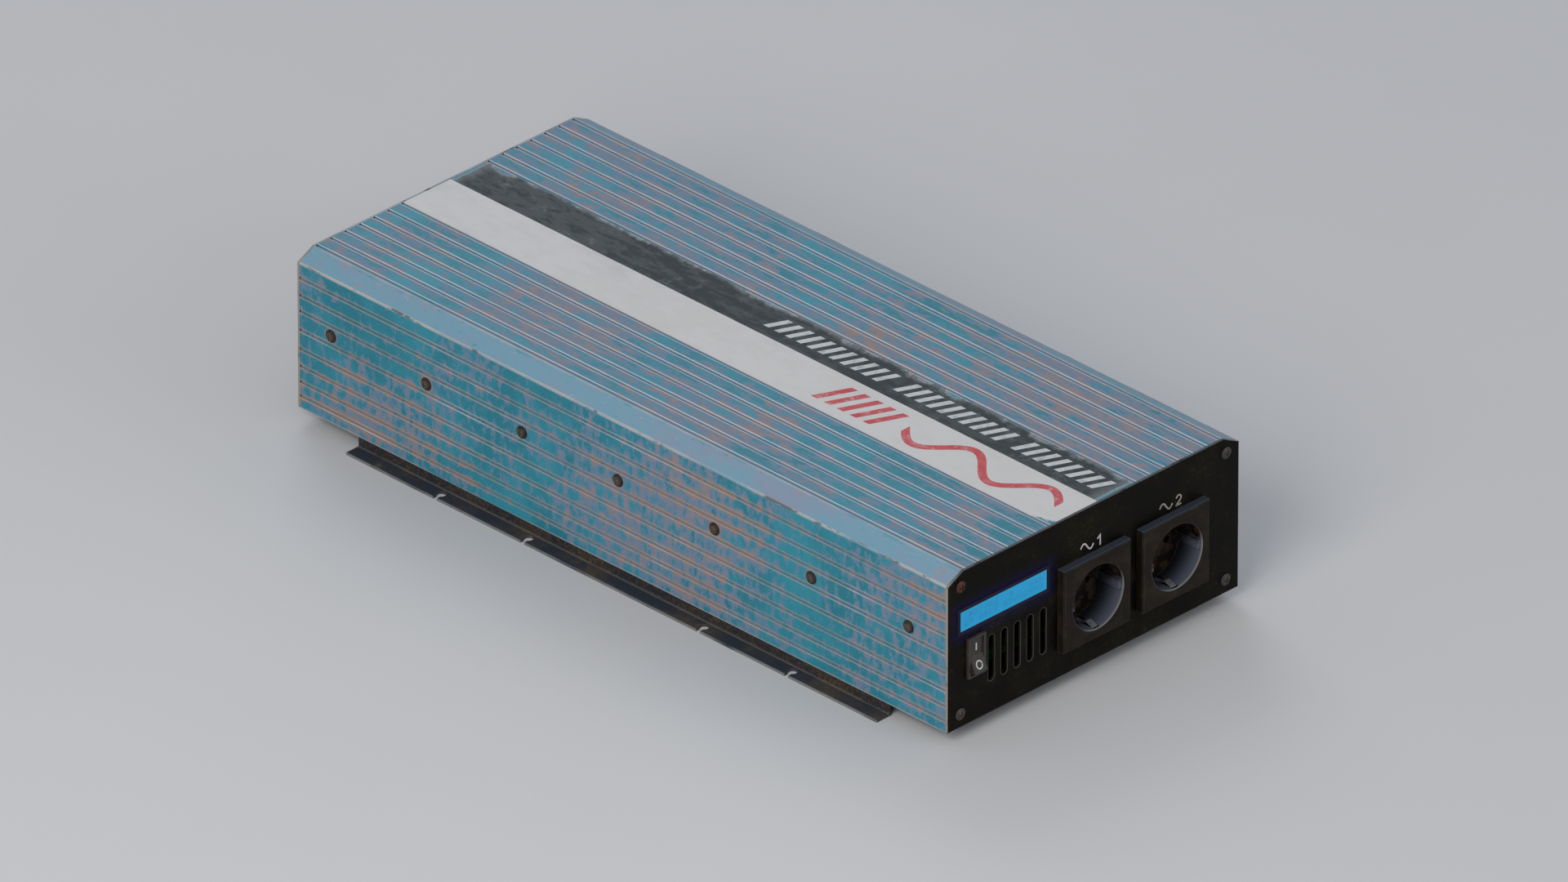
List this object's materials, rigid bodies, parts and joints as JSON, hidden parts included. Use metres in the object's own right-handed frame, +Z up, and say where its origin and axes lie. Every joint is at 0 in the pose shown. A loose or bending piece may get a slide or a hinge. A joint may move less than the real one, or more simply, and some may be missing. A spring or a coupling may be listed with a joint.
{
  "type": "power inverter",
  "caption": "Mains power inverter in a long grooved metal case on foot brackets, with round mains sockets, a lit display, rocker switch and vents in front, and fans and battery posts behind.",
  "frame": {"origin": "middle of the floor area that the object's whole box covers", "axes": "+X across the width with the display at -X, +Y from the socket panel to the rear panel, +Z up"},
  "size_m": [0.2432, 0.5356, 0.1068],
  "materials": {
    "case_paint": "teal-blue paint on extruded aluminium, worn to lilac grey, rust-brown along the grooves",
    "base_metal": "zinc-plated sheet, dull and dusty",
    "panel_black": "black paint, grimy, bare along its edges",
    "screw_dark": "dark tarnished steel with spots of rust",
    "screw_rusty": "dark steel with a rust halo",
    "bracket_black": "black paint, dusty, with light worn edges",
    "display_frame": "dark moulded plastic",
    "display_lit": "blue lit display behind a clear window",
    "board_green": "solder-masked glass-fibre board",
    "switch_plastic": "moulded black plastic, dusty edges",
    "rocker_plastic": "dark grey moulded plastic with white I and O marks",
    "brass": "machined brass, slightly tarnished",
    "socket_plastic": "dark brown-black moulded plastic, dull face and glossy recess",
    "spring_steel": "bright plated spring steel",
    "fan_plastic": "black glass-filled plastic",
    "rotor_plastic": "black moulded plastic, dusty",
    "guard_wire": "nickel-plated wire, spots of rust",
    "post_red": "red moulded insulator",
    "post_black": "black moulded insulator",
    "plated_steel": "zinc-plated steel",
    "ferrite": "dark grey sintered ferrite",
    "copper": "enamelled copper",
    "part_plastic": "black moulding compound",
    "capacitor_sleeve": "dark blue shrink sleeve",
    "fuse_plastic": "orange translucent plastic",
    "bare_aluminium": "mill finish",
    "pad_silicone": "grey silicone sheet",
    "wire_brown": "brown insulation",
    "wire_red": "red insulation",
    "ribbon_grey": "grey ribbon cable"
  },
  "bodies": {
    "case": {"housing_shell": "case_paint", "base_plate": "base_metal", "front_panel": "panel_black", "rear_panel": "panel_black", "front_panel_screws": "screw_dark", "rear_panel_screws": "screw_dark", "side_screws_left": "screw_rusty", "side_screws_right": "screw_rusty", "foot_bracket_left": "bracket_black", "foot_bracket_right": "bracket_black", "bracket_screws": "screw_dark", "base_screws": "screw_dark", "display_bezel": "display_frame", "display_glass": "display_lit", "display_module": "board_green", "switch_body": "switch_plastic", "switch_terminals": "brass", "socket_1_body": "socket_plastic", "socket_2_body": "socket_plastic", "socket_1_earth_clips": "spring_steel", "socket_2_earth_clips": "spring_steel", "socket_1_contacts": "brass", "socket_2_contacts": "brass", "fan_1_frame": "fan_plastic", "fan_2_frame": "fan_plastic", "fan_1_guard": "guard_wire", "fan_2_guard": "guard_wire", "fan_screws": "screw_dark", "terminal_positive": "post_red", "terminal_negative": "post_black", "terminal_studs": "brass", "terminal_washers": "plated_steel", "terminal_nuts": "brass", "ground_stud": "brass", "ground_nut": "brass", "main_board": "board_green", "board_standoffs": "brass", "board_screws": "plated_steel", "control_board": "board_green", "transformer_cores": "ferrite", "transformer_windings": "copper", "output_inductor": "copper", "output_relay": "part_plastic", "input_capacitors": "capacitor_sleeve", "bus_capacitors": "capacitor_sleeve", "blade_fuses": "fuse_plastic", "transistors_left": "part_plastic", "transistors_right": "part_plastic", "clamp_bar_left": "bare_aluminium", "clamp_bar_right": "bare_aluminium", "thermal_pad_left": "pad_silicone", "thermal_pad_right": "pad_silicone", "bus_bars": "copper", "ac_wires": "wire_brown", "fan_wires": "wire_red", "switch_wires": "wire_red", "display_ribbon": "ribbon_grey"},
    "rocker": {"switch_rocker": "rocker_plastic"},
    "fan_1": {"fan_1_rotor": "rotor_plastic"},
    "fan_2": {"fan_2_rotor": "rotor_plastic"}
  },
  "joints": [
    {"name": "rocker_tilt", "type": "hinge", "parent": "case", "child": "rocker", "pos_m": [-0.0919, -0.2609, 0.05], "axis": [1, 0, 0], "range_deg": [0, 24]},
    {"name": "fan_1_spin", "type": "hinge", "parent": "case", "child": "fan_1", "pos_m": [-0.033, 0.2298, 0.0588], "axis": [0, 1, 0], "continuous": true},
    {"name": "fan_2_spin", "type": "hinge", "parent": "case", "child": "fan_2", "pos_m": [0.033, 0.2298, 0.0588], "axis": [0, 1, 0], "continuous": true}
  ]
}
